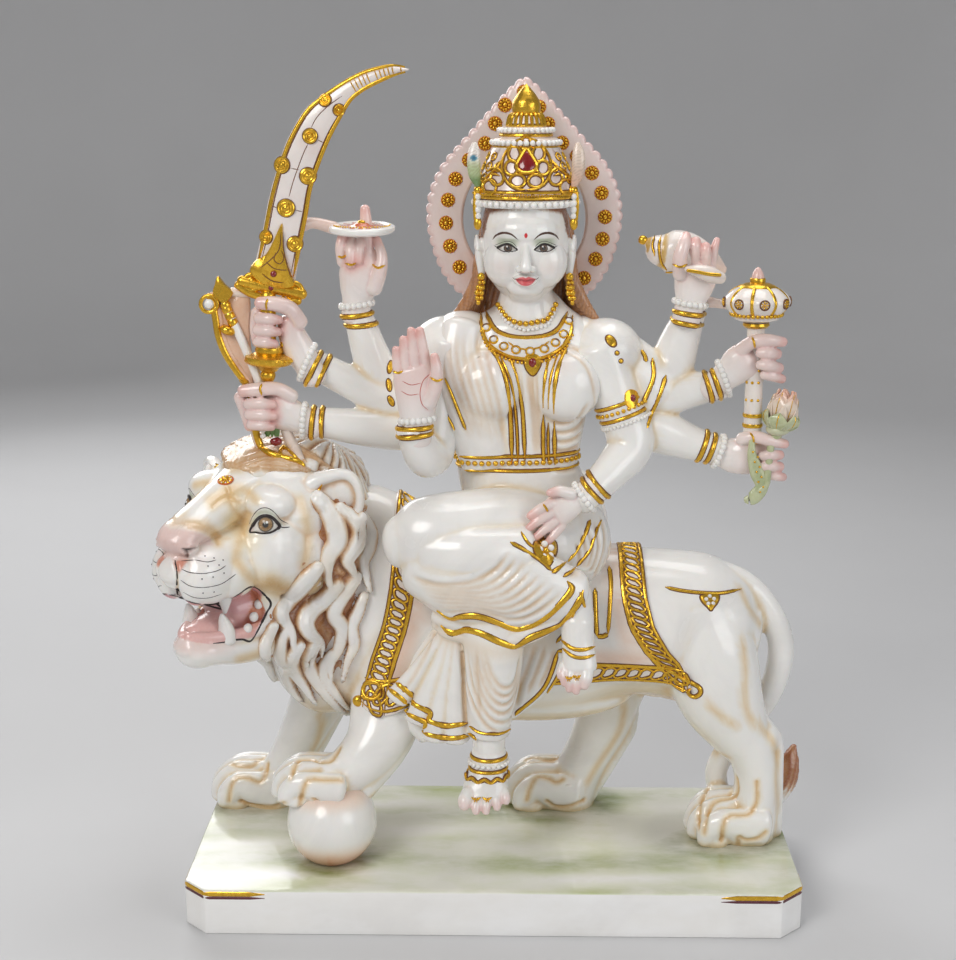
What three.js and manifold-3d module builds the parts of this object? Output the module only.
// A painted marble figure of Durga: the goddess rides side-saddle on a standing lion, eight arms
// fanned out, all carved with the plinth from one block. Millimetres, +Z up, the viewer at -Y.
// The origin is the middle of the plinth's underside.
import * as THREE from "three";
import { mergeVertices } from "three/addons/utils/BufferGeometryUtils.js";
import Module from "manifold-3d";

const wasm = await Module();
wasm.setup();

// Driving sizes
const PLINTH_WIDTH = 660;
const PLINTH_DEPTH = 282;
const PLINTH_THICKNESS = 50;
const PLINTH_CORNER = 25; // cut across the two front corners
const CARVING_HEIGHT = 850; // plinth top to the sword's tip
const SINK = 4; // how far feet and ball run into the plinth that they are carved with
const STRUT = 7; // half thickness of the bridges left between slender parts
const FACETS = 9600; // triangles that the carved block keeps
const MARBLE = { color: 0xf2efe9, roughness: 0.25, metalness: 0 };

// Free forms are given on a carving 850 high, measured from the plinth's top, and follow CARVING_HEIGHT.
const DRAWN_HEIGHT = 850;
const share = CARVING_HEIGHT / DRAWN_HEIGHT;
const place = (x, y, z) => new THREE.Vector3(x * share, y * share, z * share + PLINTH_THICKNESS);

const range = (n) => Array.from({ length: n }, (_, i) => i);
const mix = (a, b, t) => a.map((v, i) => v + (b[i] - v) * t);

// Closes rows of points, each a ring with the same number of points, into one solid with pointed or flat ends.
function skin(rings, startPoint, endPoint) {
  const n = rings[0].length;
  const points = rings.flat();
  const first = points.push(startPoint) - 1;
  const last = points.push(endPoint) - 1;
  const faces = [];
  for (let r = 0; r + 1 < rings.length; r++) {
    for (let i = 0; i < n; i++) {
      const j = (i + 1) % n;
      const a = r * n + i;
      const b = r * n + j;
      faces.push(a, b, b + n, a, b + n, a + n);
    }
  }
  const top = (rings.length - 1) * n;
  for (let i = 0; i < n; i++) {
    const j = (i + 1) % n;
    faces.push(first, j, i);
    faces.push(last, top + i, top + j);
  }
  const geometry = new THREE.BufferGeometry().setFromPoints(points);
  geometry.setIndex(faces);
  return geometry;
}

// A limb through stations [x, y, z, half width, half thickness]: the half width lies along `across`.
function limb(stations, sides = 8, across = [1, 0, 0], round = 0.5) {
  const centres = stations.map(([x, y, z]) => place(x, y, z));
  const tangents = centres.map((c, i) => {
    const before = centres[Math.max(i - 1, 0)];
    const after = centres[Math.min(i + 1, centres.length - 1)];
    return after.clone().sub(before).normalize();
  });
  const rings = stations.map(([, , , wide, thick = wide], i) => {
    const t = tangents[i];
    const u = new THREE.Vector3(...across);
    u.addScaledVector(t, -u.dot(t)).normalize();
    const v = t.clone().cross(u);
    return Array.from({ length: sides }, (_, k) => {
      const angle = (2 * Math.PI * (k + 0.5)) / sides;
      return centres[i]
        .clone()
        .addScaledVector(u, wide * share * Math.cos(angle))
        .addScaledVector(v, thick * share * Math.sin(angle));
    });
  });
  const cap = (i, sign) => {
    const [, , , wide, thick = wide] = stations[i];
    return centres[i].clone().addScaledVector(tangents[i], sign * round * Math.min(wide, thick) * share);
  };
  return solid(skin(rings, cap(0, -1), cap(stations.length - 1, 1)));
}

// An egg with three half sizes, turned about Z then tipped about X and Y, in degrees.
function egg([x, y, z], [rx, ry, rz], turn = 0, tip = 0, lean = 0, wide = 10, high = 7) {
  const geometry = new THREE.SphereGeometry(1, wide, high).rotateX(Math.PI / 2);
  const matrix = new THREE.Matrix4().compose(
    place(x, y, z),
    new THREE.Quaternion().setFromEuler(
      new THREE.Euler(...[tip, lean, turn].map(THREE.MathUtils.degToRad), "ZYX"),
    ),
    new THREE.Vector3(rx, ry, rz).multiplyScalar(share),
  );
  return solid(geometry.applyMatrix4(matrix));
}

// A turned form: profile [radius, height] pairs from bottom to top, stood at a place and leaned.
function turned(profile, [x, y, z], sides = 12, leanX = 0, leanY = 0) {
  const points = profile.map(([r, h]) => new THREE.Vector2(r * share, h * share));
  const geometry = new THREE.LatheGeometry(points, sides).rotateX(Math.PI / 2);
  geometry.rotateX(THREE.MathUtils.degToRad(leanX)).rotateY(THREE.MathUtils.degToRad(leanY));
  const at = place(x, y, z);
  return solid(geometry.translate(at.x, at.y, at.z));
}

// A flat plate cut to an outline in X and Z, standing at depth y.
function plate(outline, y, thick, hole) {
  const shape = new THREE.Shape(outline.map(([x, z]) => new THREE.Vector2(x * share, z * share)));
  if (hole) shape.holes.push(new THREE.Path(hole.map(([x, z]) => new THREE.Vector2(x * share, z * share))));
  const geometry = new THREE.ExtrudeGeometry(shape, { depth: thick * share, bevelEnabled: false });
  geometry.rotateX(Math.PI / 2).translate(0, (y + thick / 2) * share, PLINTH_THICKNESS);
  return solid(geometry);
}

function solid(geometry) {
  const bare = geometry.index ? geometry.toNonIndexed() : geometry;
  const merged = mergeVertices(
    new THREE.BufferGeometry().setAttribute("position", bare.getAttribute("position")),
    1e-4,
  );
  const index = merged.index.array;
  const triVerts = [];
  for (let i = 0; i < index.length; i += 3) {
    const [a, b, c] = [index[i], index[i + 1], index[i + 2]];
    if (a !== b && b !== c && c !== a) triVerts.push(a, b, c);
  }
  const build = (faces) =>
    new wasm.Manifold(
      new wasm.Mesh({
        numProp: 3,
        vertProperties: merged.attributes.position.array,
        triVerts: new Uint32Array(faces),
      }),
    );
  const made = build(triVerts);
  return made.volume() > 0 ? made : build(triVerts.reverse());
}

function joined(solids) {
  let heap = solids.flat(Infinity);
  while (heap.length > 1) {
    const next = [];
    for (let i = 0; i < heap.length; i += 2) next.push(i + 1 < heap.length ? heap[i].add(heap[i + 1]) : heap[i]);
    heap = next;
  }
  return heap[0];
}

function plinth() {
  const [w, d, c] = [PLINTH_WIDTH / 2, PLINTH_DEPTH / 2, PLINTH_CORNER];
  const corners = [[-w, d], [w, d], [w, -d + c], [w - c, -d], [-w + c, -d], [-w, -d + c]];
  const shape = new THREE.Shape(corners.map(([x, y]) => new THREE.Vector2(x, y)));
  return solid(new THREE.ExtrudeGeometry(shape, { depth: PLINTH_THICKNESS, bevelEnabled: false }));
}

// The lion

const LION_DEPTH = 50; // the lion's middle plane, behind the plinth's middle
const BODY = [
  // [x, middle height, half height, half width]
  [-200, 268, 118, 74],
  [-165, 264, 136, 80],
  [-112, 244, 122, 76],
  [-50, 222, 108, 71],
  [10, 224, 102, 69],
  [70, 228, 98, 68],
  [125, 238, 87, 68],
  [178, 240, 84, 72],
  [230, 232, 86, 73],
  [266, 226, 70, 63],
  [286, 222, 44, 44],
];

function lionBody() {
  const stations = BODY.map(([x, z, tall, wide]) => [x, LION_DEPTH, z, wide, tall]);
  const hide = limb(stations, 18, [0, 1, 0], 0.25);
  const shoulder = egg([-112, 2, 215], [52, 34, 76], 0, 0, 10);
  const chest = egg([-205, 30, 215], [52, 62, 82], 0, 0, -20);
  return [hide, shoulder, chest];
}

// The saddle cloth, a thick sheet over the back that ends above the belly.
const CLOTH_LIFT = 4;
const CLOTH_HEM = 172; // above the plinth's top
function saddleCloth() {
  const covered = BODY.filter(([x]) => x > -120 && x < 200);
  const stations = covered.map(([x, z, tall, wide]) => [x, LION_DEPTH, z, wide + CLOTH_LIFT, tall + CLOTH_LIFT]);
  const sheet = limb(stations, 18, [0, 1, 0], 0);
  const hem = place(0, 0, CLOTH_HEM).z;
  const below = solid(new THREE.BoxGeometry(2000, 2000, 2000).translate(0, 0, hem - 1000));
  return sheet.subtract(below);
}

// One paw: four long toes side by side, pointing along -X.
function paw([x, y, z], width, length, height) {
  const pitch = width / 4;
  return range(4).map((i) => {
    const side = y + (i - 1.5) * pitch;
    const back = Math.abs(i - 1.5) > 1 ? 0.86 : 1;
    return limb(
      [
        [x + 0.25 * length, side, z + 0.6 * height, pitch * 0.62, height * 0.42],
        [x - 0.42 * length * back, side, z + 0.56 * height, pitch * 0.66, height * 0.42],
        [x - 0.68 * length * back, side, z + 0.22 * height, pitch * 0.56, height * 0.24],
      ],
      5,
      [0, 1, 0],
    );
  });
}

const NEAR_HIND = 8;
const FAR_LEG = 98;
const BALL = { x: -177, y: -57, radius: 49 };

function hindLegs() {
  const near = limb(
    [
      [226, 22, 262, 46, 40],
      [240, 10, 215, 52, 38],
      [254, 6, 165, 47, 35],
      [272, NEAR_HIND, 128, 38, 32],
      [290, NEAR_HIND, 100, 28, 28],
      [296, NEAR_HIND, 66, 25, 27],
      [294, NEAR_HIND, 28, 27, 32],
      [292, NEAR_HIND, 2, 28, 34],
    ],
    10,
    [1, 0, 0],
    0,
  );
  const nearBrace = plate([[296, 0], [327, 0], [327, 26], [324, 118], [300, 150], [290, 120]], NEAR_HIND, 2 * STRUT);
  const far = limb(
    [
      [140, 92, 190, 40, 32],
      [136, FAR_LEG, 140, 38, 30],
      [124, FAR_LEG, 95, 32, 29],
      [104, FAR_LEG, 50, 28, 29],
      [88, FAR_LEG, 18, 32, 33],
      [86, FAR_LEG, -2, 32, 33],
    ],
    10,
    [1, 0, 0],
    0,
  );
  const farBrace = plate([[90, 0], [116, 0], [168, 90], [168, 150], [140, 150]], FAR_LEG, 2 * STRUT);
  return [
    near,
    nearBrace,
    far,
    farBrace,
    paw([276, NEAR_HIND, -SINK], 72, 62, 52),
    paw([70, FAR_LEG, -SINK], 68, 64, 54),
  ];
}

function foreLegs() {
  const near = limb(
    [
      [-110, 8, 200, 50, 36],
      [-118, -8, 158, 42, 34],
      [-132, -28, 122, 33, 31],
      [-156, -46, 98, 27, 28],
      [-180, BALL.y, 88, 22, 30],
    ],
    10,
    [1, 0, 0],
    0.4,
  );
  const nearBrace = limb(
    [
      [-98, 0, 158, 20, 16],
      [-112, -22, 110, 10, 16],
      [-146, -48, 68, 9, 16],
    ],
    6,
    [1, 0, 0],
    0.2,
  );
  const far = limb(
    [
      [-190, 84, 190, 40, 34],
      [-206, 92, 130, 33, 30],
      [-228, FAR_LEG, 80, 27, 27],
      [-246, FAR_LEG, 42, 26, 28],
      [-262, FAR_LEG, 16, 28, 32],
      [-264, FAR_LEG, -2, 28, 32],
    ],
    10,
    [1, 0, 0],
    0,
  );
  const farBrace = plate([[-262, 0], [-236, 0], [-170, 120], [-170, 150], [-200, 150]], FAR_LEG, 2 * STRUT);
  const ball = egg([BALL.x, BALL.y, BALL.radius - SINK - 2], [BALL.radius, BALL.radius, BALL.radius], 0, 0, 0, 12, 8);
  return [
    near,
    nearBrace,
    far,
    farBrace,
    ball,
    paw([-190, BALL.y, 72], 66, 56, 42),
    paw([-278, FAR_LEG, -SINK], 66, 64, 54),
  ];
}

function tail() {
  const hanging = limb(
    [
      [236, LION_DEPTH, 300, 22, 16],
      [280, LION_DEPTH, 284, 14, 14],
      [312, LION_DEPTH, 248, 15, 15],
      [324, LION_DEPTH, 204, 15, 15],
      [310, LION_DEPTH + 2, 146, 14, 14],
      [270, LION_DEPTH + 4, 92, 13, 13],
      [256, LION_DEPTH + 6, 52, 13, 13],
      [272, LION_DEPTH + 8, 20, 13, 13],
      [308, LION_DEPTH + 10, 15, 14, 14],
      [334, LION_DEPTH + 10, 42, 15, 14],
      [346, LION_DEPTH + 10, 84, 4, 4],
    ],
    6,
    [0, 1, 0],
  );
  const bridge = limb([[272, LION_DEPTH, 252, STRUT], [300, LION_DEPTH, 252, STRUT]], 6, [0, 1, 0]);
  const tie = limb([[296, 20, 118, 12], [300, 50, 124, 12]], 6);
  return [hanging, bridge, tie];
}

// The lion's head looks towards the viewer: places on it run forwards, to its near side and up.
const HEAD = { x: -242, y: -2, z: 375, turn: 57, roll: 0.06 };
const FACING = THREE.MathUtils.degToRad(HEAD.turn);
const FORWARD = [-Math.cos(FACING), -Math.sin(FACING)];
const SIDE = [Math.sin(FACING), -Math.cos(FACING)];
const onHead = (f, s, u) => [
  HEAD.x + f * FORWARD[0] + s * SIDE[0],
  HEAD.y + f * FORWARD[1] + s * SIDE[1],
  HEAD.z + u - HEAD.roll * s,
];
const headEgg = (f, s, u, sizes, tip = 0, wide = 10, high = 7) =>
  egg(onHead(f, s, u), sizes, HEAD.turn, 0, tip, wide, high);
const headLimb = (stations, sides) =>
  limb(stations.map(([f, s, u, wide, thick = wide]) => [...onHead(f, s, u), wide, thick]), sides, [...SIDE, 0]);
const bothSides = (make) => [-1, 1].map(make);

function lionHead() {
  const skull = headEgg(0, 0, 4, [80, 80, 74], 0, 14, 10);
  const brow = bothSides((s) => headEgg(48, s * 40, 34, [28, 28, 18], 10));
  const eye = bothSides((s) => headEgg(66, s * 46, 16, [12, 14, 12], 0, 8, 6));
  const bridge = headLimb(
    [
      [20, 0, 48, 44, 26],
      [64, 0, 34, 31, 24],
      [104, 0, 20, 25, 21],
      [142, 0, 8, 24, 16],
      [158, 0, 0, 17, 11],
    ],
    8,
  );
  const snout = headLimb(
    [
      [20, 0, -22, 62, 50],
      [70, 0, -24, 49, 36],
      [116, 0, -24, 40, 29],
      [146, 0, -24, 34, 24],
      [157, 0, -22, 22, 16],
    ],
    12,
  );
  const lip = bothSides((s) => headEgg(122, s * 21, -31, [34, 22, 25]));
  const cheek = bothSides((s) => headEgg(34, s * 36, -22, [54, 38, 50]));
  const jaw = headLimb(
    [
      [6, 0, -112, 58, 36],
      [62, 0, -122, 46, 27],
      [112, 0, -121, 36, 20],
      [142, 0, -117, 27, 17],
      [156, 0, -111, 14, 9],
    ],
    10,
  );
  const throat = headEgg(-14, 0, -70, [60, 66, 66], 0, 12, 8);
  const tongue = headLimb(
    [
      [30, 0, -98, 25, 12],
      [96, 0, -101, 21, 10],
      [134, 0, -99, 13, 8],
    ],
    7,
  );
  const fang = (f, s, u, drop) => headLimb([[f, s, u, 7], [f + 2, s, u + drop, 3]], 5);
  const fangs = bothSides((s) => [fang(132, s * 21, -44, -28), fang(128, s * 21, -110, 30)]);
  const ears = bothSides((s) => {
    const ear = headEgg(-16, s * 82, 36, [13, 28, 32]);
    return ear.subtract(headEgg(-4, s * 88, 40, [11, 17, 20], 0, 8, 6));
  });
  return [skull, brow, eye, bridge, snout, lip, cheek, jaw, throat, tongue, fangs, ears];
}

// Wavy locks of the mane, from a root behind the cheek down to a curled tip.
function maneLock([x, y, z], length, sway, radius) {
  const stations = range(4).map((i) => {
    const t = i / 3;
    const wave = Math.sin(t * 2.2 * Math.PI) * sway;
    return [x + wave + 6 * t, y + 10 * t * t, z - length * t, radius * (1 - 0.75 * t * t), radius * 0.8 * (1 - 0.6 * t)];
  });
  return limb(stations, 4);
}

const MANE_ROOTS = [
  // [x, y, z of the root, length, sway, radius]
  [-174, -44, 400, 110, 7, 16],
  [-148, -30, 390, 105, 7, 15],
  [-198, -60, 320, 110, 9, 16],
  [-168, -46, 310, 120, 9, 17],
  [-208, -48, 235, 80, 8, 15],
  [-174, -40, 222, 85, 8, 16],
];

function mane() {
  const side = MANE_ROOTS.map(([x, y, z, length, sway, radius]) => maneLock([x, y, z], length, sway, radius));
  const farSide = MANE_ROOTS.map(([x, y, z, length, sway, radius]) =>
    maneLock([x + 6, 2 * LION_DEPTH - y - 18, z], length, sway, radius),
  );
  const crest = limb(
    [
      [-262, -20, 432, 26, 20],
      [-222, 4, 436, 40, 26],
      [-186, 28, 412, 46, 36],
      [-150, 42, 372, 48, 40],
    ],
    8,
    [0, 1, 0],
  );
  const ruff = egg([-180, 48, 305], [62, 88, 118], 0, 0, 0, 14, 9);
  return [side, farSide, crest, ruff];
}

// The goddess

const TORSO = [
  // [x, y, z, half width, half depth]
  [48, 34, 322, 66, 46],
  [46, 32, 352, 77, 50],
  [34, 30, 388, 69, 46],
  [25, 28, 424, 67, 40],
  [25, 26, 465, 72, 40],
  [28, 22, 510, 75, 42],
  [33, 22, 552, 80, 40],
  [35, 24, 580, 76, 32],
  [35, 24, 600, 36, 26],
  [33, 20, 640, 26, 26],
];

function torso() {
  const trunk = limb(TORSO, 16, [1, 0, 0], 0.2);
  const breasts = [-6, 74].map((x) => egg([x, -8, 518], [38, 30, 38], 0, 0, 0, 12, 8));
  return [trunk, breasts];
}

// Ridges laid side by side, as folds of cloth.
const fold = (stations, radius) => limb(stations.map((s) => [...s, radius]), 4);

function skirt() {
  const foldedLeg = limb(
    [
      [62, 4, 352, 46, 50],
      [10, -22, 362, 46, 46],
      [-40, -42, 362, 48, 46],
      [-80, -50, 360, 43, 38],
      [-104, -52, 360, 26, 22],
    ],
    12,
    [0, 0, 1],
  );
  const foldedShin = limb(
    [
      [-70, -52, 340, 42, 36],
      [-36, -62, 326, 48, 36],
      [4, -68, 316, 48, 32],
      [48, -70, 312, 40, 26],
      [86, -68, 306, 26, 20],
    ],
    12,
    [0, 0, 1],
  );
  const hip = egg([78, 8, 342], [46, 46, 50]);
  const hangingThigh = limb([[40, 10, 330, 44], [4, -44, 296, 40], [-2, -60, 268, 34]], 10);
  const shin = limb(
    [
      [0, -62, 280, 36, 30],
      [0, -62, 240, 31, 28],
      [-1, -62, 205, 28, 26],
      [-4, -60, 170, 24, 24],
      [-5, -58, 140, 21, 22],
    ],
    12,
    [1, 0, 0],
    0,
  );
  const trailing = limb(
    [
      [60, -40, 290, 34, 12],
      [52, -36, 240, 36, 10],
      [34, -34, 190, 24, 9],
      [20, -34, 150, 8, 7],
    ],
    8,
    [1, 0, 0],
  );
  const lapFolds = range(5).map((i) => {
    const drop = i * 15;
    return fold(
      [
        [-82 + 8 * i, -74 - 2 * i, 350 - drop],
        [-30 + 6 * i, -96, 322 - drop],
        [30, -98 + 3 * i, 322 - drop * 0.9],
        [76 - 2 * i, -84 + 2 * i, 336 - drop * 0.7],
      ],
      4.5,
    );
  });
  const pleats = range(5).map((i) => {
    const foot = mix([-104, -40, 190], [-30, -56, 148], i / 4);
    const head = mix([-62, -44, 285], [-26, -56, 280], i / 4);
    return limb([[...head, 7, 8], [...foot, 13, 9]], 5);
  });
  const pleatBack = limb(
    [
      [-44, -30, 286, 24, 16],
      [-60, -28, 230, 34, 16],
      [-66, -28, 180, 42, 15],
      [-52, -34, 158, 26, 14],
    ],
    8,
  );
  return [foldedLeg, foldedShin, hip, hangingThigh, shin, trailing, lapFolds, pleats, pleatBack];
}

// A foot with five toes, its sole down or hanging: `down` points from ankle to toes.
function foot(ankle, ball, across, heel) {
  const toes = range(5).map((i) => {
    const offset = (i - 2) * 10;
    const long = 20 - Math.abs(i - 1) * 3;
    const root = ball.map((v, k) => v + across[k] * offset);
    const way = new THREE.Vector3(...ball).sub(new THREE.Vector3(...ankle)).normalize();
    const tip = root.map((v, k) => v + way.getComponent(k) * long);
    return limb([[...root, 7], [...tip, 5.5]], 5);
  });
  const instep = limb([[...ankle, 17, 16], [...ball, 26, 10]], 8);
  return [instep, toes, heel ? limb([[...ankle, 15], [...heel, 14]], 6) : []];
}

function feet() {
  const hanging = foot([-5, -58, 128], [-9, -80, 92], [1, 0, 0.1], [-4, -52, 104]);
  const ankle = limb([[-5, -58, 150, 17], [-5, -58, 120, 17]], 8);
  const crossed = foot([90, -72, 264], [88, -88, 226], [-1, 0, 0.1]);
  const crossedAnkle = limb([[84, -66, 306, 18], [90, -70, 282, 15], [91, -72, 256, 15]], 8);
  return [hanging, ankle, crossed, crossedAnkle];
}

// Hands. A hand has a wrist, a way that its knuckles lie, a way that the palm faces, and a side for the thumb.
function hand(wrist, along, palm, curls, thumbSide = 1, size = 1) {
  const at = new THREE.Vector3(...wrist);
  const f = new THREE.Vector3(...along).normalize();
  const n = new THREE.Vector3(...palm);
  n.addScaledVector(f, -n.dot(f)).normalize();
  const t = f.clone().cross(n).multiplyScalar(thumbSide);
  const spot = (a, b, c) => {
    const p = at.clone().addScaledVector(f, a * size).addScaledVector(t, b * size).addScaledVector(n, c * size);
    return [p.x, p.y, p.z];
  };
  const block = limb(
    [
      [...spot(0, 0, 0), 15 * size, 12 * size],
      [...spot(24, 0, 0), 22 * size, 11 * size],
      [...spot(44, 0, 0), 21 * size, 8 * size],
    ],
    6,
    [t.x, t.y, t.z],
  );
  const lengths = [36, 40, 37, 30];
  const fingers = lengths.map((long, i) => {
    const side = 15.5 - i * 10.2;
    let [a, c, bend] = [42, 0, 0];
    const stations = [[...spot(36, side, 0), 6.4 * size]];
    for (const [k, part] of [0.5, 0.5].entries()) {
      bend += THREE.MathUtils.degToRad(curls[i] * [1.1, 1.5][k]);
      a += long * part * Math.cos(bend);
      c += long * part * Math.sin(bend);
      stations.push([...spot(a, side * (1 - 0.05 * k), c), (6 - 0.6 * k) * size]);
    }
    return limb(stations, 4);
  });
  const reach = curls[4];
  const thumb = limb(
    [
      [...spot(12, 16, 6), 8 * size],
      [...spot(32, 24 - reach * 8, 10 + reach * 12), 7 * size],
      [...spot(44, 24 - reach * 22, 12 + reach * 16), 4.5 * size],
    ],
    4,
  );
  return [block, fingers, thumb];
}

const FIST = [88, 88, 88, 88, 1];
const arm = (stations) => limb(stations, 8, [0, 1, 0], 0.4);

function rightArms() {
  const root = limb(
    [
      [-20, 26, 560, 26, 32],
      [-64, 26, 532, 25, 36],
      [-98, 20, 494, 24, 32],
    ],
    10,
    [0, 1, 0],
  );
  const blessing = arm([[-46, 10, 560, 28], [-62, 2, 505, 25], [-66, -14, 446, 24], [-76, -36, 450, 22], [-84, -52, 482, 17]]);
  const bow = arm([[-80, 20, 476, 25], [-104, 12, 468, 23], [-150, 0, 474, 19], [-196, -12, 482, 15]]);
  const sword = arm([[-86, 22, 504, 24], [-112, 14, 500, 22], [-156, 6, 522, 18], [-200, -4, 546, 15]]);
  const disc = arm([[-84, 26, 520, 25], [-116, 22, 510, 24], [-132, 14, 548, 21], [-144, 6, 594, 16]]);
  const up = [0.1, -0.1, 1];
  return [
    root,
    blessing,
    bow,
    sword,
    disc,
    hand([-84, -54, 482], up, [0, -1, 0], [4, 2, 2, 4, 0.1], 1, 1.2),
    hand([-196, -12, 482], [-1, -0.1, 0.2], [0, -1, 0], FIST, 1),
    hand([-200, -4, 546], [-0.72, -0.1, 0.62], [0, -1, 0], FIST, 1),
    hand([-144, 6, 590], [0.02, -0.05, 1], [0, -1, 0], [80, 88, 88, 30, 0.5], 1),
  ];
}

function leftArms() {
  const root = limb(
    [
      [84, 26, 556, 27, 34],
      [136, 28, 528, 26, 42],
      [168, 28, 498, 25, 40],
    ],
    10,
    [0, 1, 0],
  );
  const resting = arm([[112, 10, 556, 30], [128, 6, 510, 26], [147, 2, 456, 26], [122, -22, 430, 20], [94, -44, 405, 15]]);
  const lotus = arm([[150, 26, 478, 27], [176, 24, 466, 26], [208, 20, 454, 20], [240, 14, 446, 16]]);
  const mace = arm([[160, 28, 504, 27], [184, 28, 504, 24], [214, 24, 510, 19], [242, 20, 516, 16]]);
  const shell = arm([[168, 30, 518, 27], [188, 34, 530, 25], [198, 34, 558, 22], [209, 30, 592, 17]]);
  return [
    root,
    resting,
    lotus,
    mace,
    shell,
    hand([94, -44, 405], [-0.85, -0.25, -0.35], [-0.3, 0.5, -0.8], [10, 12, 14, 18, 0.2], -1, 1.05),
    hand([240, 14, 446], [1, -0.1, 0.05], [0, -1, 0], FIST, -1),
    hand([242, 20, 516], [0.85, -0.1, 0.5], [0, -1, 0], FIST, -1),
    hand([209, 30, 592], [0.1, -0.1, 1], [-0.2, -1, 0], [60, 70, 70, 30, 0.6], -1),
  ];
}

// The head, with its crown, hair and ears.
const FACE = { x: 32, y: 16, z: 668 };

function head() {
  const { x, y, z } = FACE;
  const skull = egg([x, y + 2, z + 8], [46, 48, 50], 0, 0, 0, 12, 8);
  const jaw = limb(
    [
      [x, y + 4, z + 14, 45, 42],
      [x, y - 2, z - 14, 43, 42],
      [x, y - 10, z - 34, 32, 34],
      [x, y - 18, z - 48, 18, 20],
    ],
    12,
  );
  const nose = limb([[x, y - 42, z + 8, 6, 6], [x, y - 50, z - 12, 8, 7], [x, y - 46, z - 17, 7, 5]], 5);
  const ears = [-1, 1].map((s) => egg([x + s * 50, y + 6, z - 18], [8, 12, 20], 0, 0, 0, 6, 5));
  const earrings = [-1, 1].map((s) => egg([x + s * 47, y - 4, z - 44], [8, 8, 15], 0, 0, 0, 6, 4));
  const hair = [-1, 1].map((s) =>
    limb(
      [
        [x + s * 40, y + 18, z + 20, 14, 22],
        [x + s * 46, y + 20, z - 24, 14, 22],
        [x + s * 54, y + 18, z - 62, 16, 20],
        [x + s * 62, y + 16, z - 90, 12, 14],
      ],
      6,
    ),
  );
  const nape = limb([[x, y + 34, z + 10, 40, 26], [x, y + 36, z - 40, 44, 22], [x, y + 36, z - 110, 46, 16]], 8);
  return [skull, jaw, nose, ears, earrings, hair, nape];
}

const CROWN = [
  // [radius, height] above the brow
  [0, -14], [53, -14], [57, -6], [53, 3], [54, 14], [48, 36], [37, 60], [31, 70], [25, 76], [22, 86], [13, 91],
  [16, 101], [11, 111], [0, 122],
];

function crown() {
  const { x, y, z } = FACE;
  const cap = turned(CROWN, [x, y + 2, z + 38], 16);
  const frontPiece = egg([x, y - 46, z + 72], [24, 8, 32], 0, 14);
  const feathers = [-1, 1].map((s) => egg([x + s * 56, y - 8, z + 68], [8, 5, 24], 0, 0, s * 6, 6, 5));
  const tassels = [-1, 1].map((s) => limb([[x + s * 53, y - 6, z + 46, 6], [x + s * 54, y - 6, z + 12, 7]], 5));
  return [cap, frontPiece, feathers, tassels];
}

// The halo: a pointed ring with a scalloped rim, pierced beside the head.
const HALO_HALF_WIDTHS = [
  // [height, half width] up one side
  [600, 60], [616, 76], [636, 90], [660, 99], [686, 104], [710, 103], [732, 96], [752, 84], [774, 64], [794, 46],
  [814, 28], [832, 11], [838, 0],
];
const HALO = { x: 31, y: 58, thick: 13, scallops: 20, scallop: 3, holeX: 67, holeZ: 70, holeMiddle: 690, holeSides: 18 };

function halo() {
  const side = new THREE.CatmullRomCurve3(
    HALO_HALF_WIDTHS.map(([z, w]) => new THREE.Vector3(w, 0, z)),
    false,
    "catmullrom",
    0.3,
  );
  const steps = HALO.scallops * 2;
  const rim = side.getSpacedPoints(steps).map((p, i) => {
    const bulge = i % 2 ? HALO.scallop : 0;
    return [p.x + bulge * 0.8, p.z + bulge * 0.5];
  });
  const right = rim.map(([w, z]) => [HALO.x + w, z]);
  const left = rim.slice(0, -1).reverse().map(([w, z]) => [HALO.x - w, z]);
  const hole = range(HALO.holeSides).map((i) => {
    const angle = (2 * Math.PI * i) / HALO.holeSides;
    return [HALO.x + HALO.holeX * Math.cos(angle), HALO.holeMiddle + HALO.holeZ * Math.sin(angle)];
  });
  return plate([...right, ...left], HALO.y, HALO.thick, hole);
}

// What the hands hold

const SWORD_Y = -22;
const BLADE_BACK = [[-251, 642], [-242, 694], [-232, 736], [-217, 772], [-194, 802], [-168, 825], [-134, 843], [-108, 849], [-90, 850]];
const BLADE_EDGE = [[-86, 846], [-94, 840], [-122, 826], [-144, 810], [-162, 786], [-176, 759], [-186, 729], [-193, 697], [-200, 666], [-210, 634]];

function sword() {
  const blade = plate([...BLADE_BACK, ...BLADE_EDGE], SWORD_Y, 9);
  const hilt = turned(
    [[0, -34], [7, -32], [9, -20], [8, -12], [24, -4], [25, 4], [15, 10], [13, 30], [14, 56], [20, 62], [0, 64]],
    [-239, SWORD_Y, 553],
    10,
    0,
    3,
  );
  const guard = limb([[-268, SWORD_Y, 634, 9, 9], [-238, SWORD_Y, 622, 13, 12], [-204, SWORD_Y, 614, 9, 9]], 6, [0, 0, 1]);
  const collar = plate([[-262, 628], [-206, 618], [-216, 648], [-222, 690], [-240, 655]], SWORD_Y, 15);
  return [blade, hilt, guard, collar];
}

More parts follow.
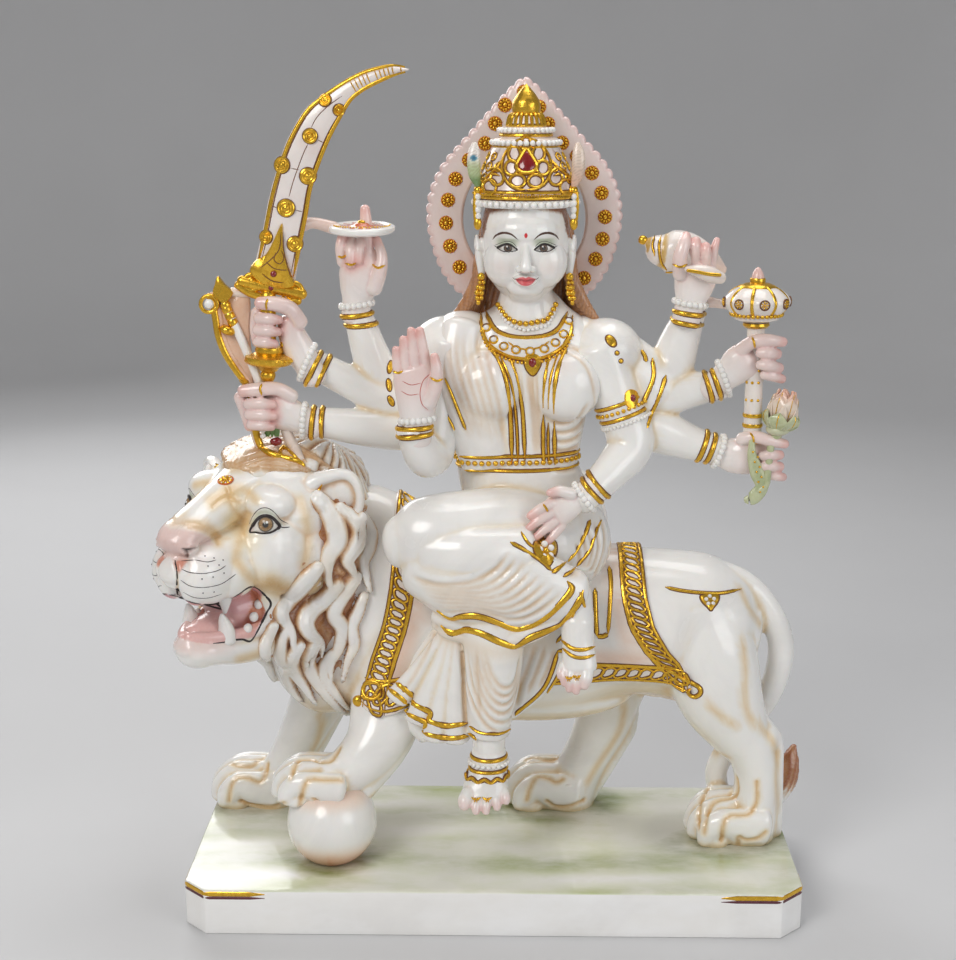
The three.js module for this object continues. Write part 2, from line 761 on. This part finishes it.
function bowAndArrow() {
  const y = -20;
  const bow = limb(
    [
      [-297, y, 612, 8],
      [-292, y, 592, 6],
      [-293, y, 568, 7],
      [-285, y, 540, 7],
      [-264, y, 520, 7],
      [-250, y, 490, 7],
      [-250, y, 470, 7],
      [-240, y - 4, 452, 7],
      [-220, y - 6, 446, 6],
      [-200, y - 4, 438, 6],
    ],
    6,
  );
  const scroll = egg([-298, y, 608], [11, 8, 11], 0, 0, 0, 8, 6);
  const arrow = limb([[-287, y, 634, 2], [-284, y, 612, 9, 7], [-280, y, 604, 6], [-270, y, 560, 6], [-252, y, 500, 6]], 6);
  const web = plate([[-286, 612], [-262, 622], [-252, 600], [-246, 560], [-240, 510], [-262, 500], [-268, 540], [-276, 570]], y + 4, 2 * STRUT - 6);
  const footing = plate([[-258, 478], [-222, 478], [-206, 436], [-216, 420], [-246, 428]], y, 2 * STRUT);
  return [bow, scroll, arrow, web, footing];
}

function discWeapon() {
  const disc = turned([[0, -5], [30, -5], [39, -1], [39, 4], [30, 7], [10, 8], [0, 8]], [-140, -6, 686], 12, 6, 0);
  const finger = limb([[-134, 4, 626, 8], [-137, -4, 690, 8], [-137, -6, 712, 5]], 8);
  const bridge = limb([[-196, SWORD_Y, 688, 8], [-170, -12, 686, 6]], 6);
  return [disc, finger, bridge];
}

function conch() {
  const shell = limb(
    [
      [150, 16, 672, 3],
      [156, 16, 668, 8],
      [168, 14, 662, 20],
      [184, 14, 658, 24],
      [204, 12, 650, 22],
      [226, 8, 642, 14],
      [240, 6, 636, 6],
    ],
    8,
    [0, 1, 0],
  );
  const lip = limb([[190, -2, 648, 10, 5], [216, 0, 642, 9, 5], [240, 6, 636, 6, 4]], 6);
  return [shell, lip];
}

function mace() {
  const profile = [
    [0, -142], [11, -142], [11, -22], [22, -16], [23, -8], [37, 4], [37, 16], [28, 27], [9, 33], [9, 42], [0, 52],
  ];
  const body = turned(profile, [275, 6, 596], 10);
  const bridge = limb([[216, 20, 604, 8], [246, 12, 608, 6]], 6);
  return [body, bridge];
}

function lotus() {
  const bud = turned([[0, -10], [9, -10], [14, 0], [22, 16], [20, 30], [12, 42], [0, 48]], [296, -4, 470], 10, 0, 24);
  const leaf = limb([[284, -8, 466, 7], [284, -8, 430, 8], [288, -8, 410, 9], [276, -8, 394, 8], [264, -8, 392, 3]], 6);
  return [bud, leaf];
}

const carving = joined([
  plinth(),
  lionBody(),
  saddleCloth(),
  hindLegs(),
  foreLegs(),
  tail(),
  lionHead(),
  mane(),
  torso(),
  skirt(),
  feet(),
  rightArms(),
  leftArms(),
  head(),
  crown(),
  halo(),
  sword(),
  bowAndArrow(),
  discWeapon(),
  conch(),
  mace(),
  lotus(),
]);

// The biggest closed body of a union, without the crumbs that fingers leave where they graze.
const biggest = (made) => made.decompose().sort((a, b) => b.volume() - a.volume())[0];

// Thins a closed mesh to a number of triangles. Each time the edge goes whose loss bends the form least,
// by the summed squared distance from the planes around it, and no face may turn over.
function thinned({ vertProperties, triVerts }, wanted) {
  const points = range(vertProperties.length / 3).map((i) => new THREE.Vector3().fromArray(vertProperties, 3 * i));
  const faces = range(triVerts.length / 3).map((i) => Array.from(triVerts.slice(3 * i, 3 * i + 3)));
  const around = points.map(() => new Set());
  const planes = points.map(() => new Float64Array(10));
  const version = points.map(() => 0);
  const [u, v, w] = range(3).map(() => new THREE.Vector3());
  const normal = (a, b, c) => u.subVectors(b, a).cross(v.subVectors(c, a)).clone();
  faces.forEach((face, f) => {
    const n = normal(...face.map((i) => points[i]));
    const area = n.length() / 2;
    n.normalize();
    const { x: a, y: b, z: c } = n;
    const d = -n.dot(points[face[0]]);
    const terms = [a * a, a * b, a * c, a * d, b * b, b * c, b * d, c * c, c * d, d * d];
    for (const i of face) {
      around[i].add(f);
      terms.forEach((term, k) => (planes[i][k] += term * area));
    }
  });
  const bend = (q, { x, y, z }) =>
    q[0] * x * x + 2 * q[1] * x * y + 2 * q[2] * x * z + 2 * q[3] * x + q[4] * y * y +
    2 * q[5] * y * z + 2 * q[6] * y + q[7] * z * z + 2 * q[8] * z + q[9];
  const neighbours = (i) => {
    const found = new Set([...around[i]].flatMap((f) => faces[f]));
    found.delete(i);
    return found;
  };
  const heap = [];
  const before = (a, b) => heap[a].cost < heap[b].cost;
  const swap = (a, b) => ([heap[a], heap[b]] = [heap[b], heap[a]]);
  function push(entry) {
    let at = heap.push(entry) - 1;
    while (at > 0 && before(at, (at - 1) >> 1)) {
      swap(at, (at - 1) >> 1);
      at = (at - 1) >> 1;
    }
  }
  function pop() {
    swap(0, heap.length - 1);
    const entry = heap.pop();
    let at = 0;
    for (;;) {
      let least = at;
      for (const child of [2 * at + 1, 2 * at + 2]) if (child < heap.length && before(child, least)) least = child;
      if (least === at) return entry;
      swap(at, least);
      at = least;
    }
  }
  function offer(a, b) {
    const q = planes[a].map((term, k) => term + planes[b][k]);
    const places = [points[a], points[b], points[a].clone().lerp(points[b], 0.5)];
    const costs = places.map((place) => bend(q, place));
    const best = costs.indexOf(Math.min(...costs));
    const length = w.subVectors(points[a], points[b]).lengthSq();
    push({ a, b, place: places[best].clone(), cost: costs[best] + 1e-3 * length, stamps: [version[a], version[b]] });
  }
  const turnsOver = (i, j, place) =>
    [...around[i]].some((f) => {
      if (faces[f].includes(j)) return false;
      const old = normal(...faces[f].map((k) => points[k]));
      const moved = normal(...faces[f].map((k) => (k === i ? place : points[k])));
      return moved.length() < 1e-3 || old.dot(moved) < 0.3 * old.length() * moved.length();
    });
  points.forEach((_, i) => neighbours(i).forEach((j) => i < j && offer(i, j)));
  let left = faces.length;
  while (left > wanted && heap.length) {
    const { a, b, place, stamps } = pop();
    if (stamps[0] !== version[a] || stamps[1] !== version[b]) continue;
    const shared = [...neighbours(a)].filter((i) => neighbours(b).has(i));
    if (shared.length !== 2 || turnsOver(a, b, place) || turnsOver(b, a, place)) continue;
    for (const f of [...around[b]]) {
      if (faces[f].includes(a)) {
        faces[f].forEach((i) => around[i].delete(f));
        faces[f] = null;
        left--;
      } else {
        faces[f] = faces[f].map((i) => (i === b ? a : i));
        around[a].add(f);
      }
    }
    around[b].clear();
    planes[b].forEach((term, k) => (planes[a][k] += term));
    points[a].copy(place);
    version[a]++;
    version[b]++;
    neighbours(a).forEach((i) => offer(a, i));
  }
  const kept = faces.filter(Boolean);
  const used = [...new Set(kept.flat())];
  const order = new Map(used.map((i, k) => [i, k]));
  return {
    vertProperties: new Float32Array(used.flatMap((i) => points[i].toArray())),
    triVerts: new Uint32Array(kept.flat().map((i) => order.get(i))),
  };
}

function meshOf({ vertProperties, triVerts }, name, finish) {
  const geometry = new THREE.BufferGeometry();
  geometry.setAttribute("position", new THREE.BufferAttribute(vertProperties, 3));
  geometry.setIndex(new THREE.BufferAttribute(triVerts, 1));
  const mesh = new THREE.Mesh(geometry, new THREE.MeshStandardMaterial(finish));
  mesh.name = name;
  return mesh;
}

const durga = new THREE.Group();
durga.add(meshOf(thinned(biggest(carving).getMesh(), FACETS), "durga_on_lion", MARBLE));
export default durga;
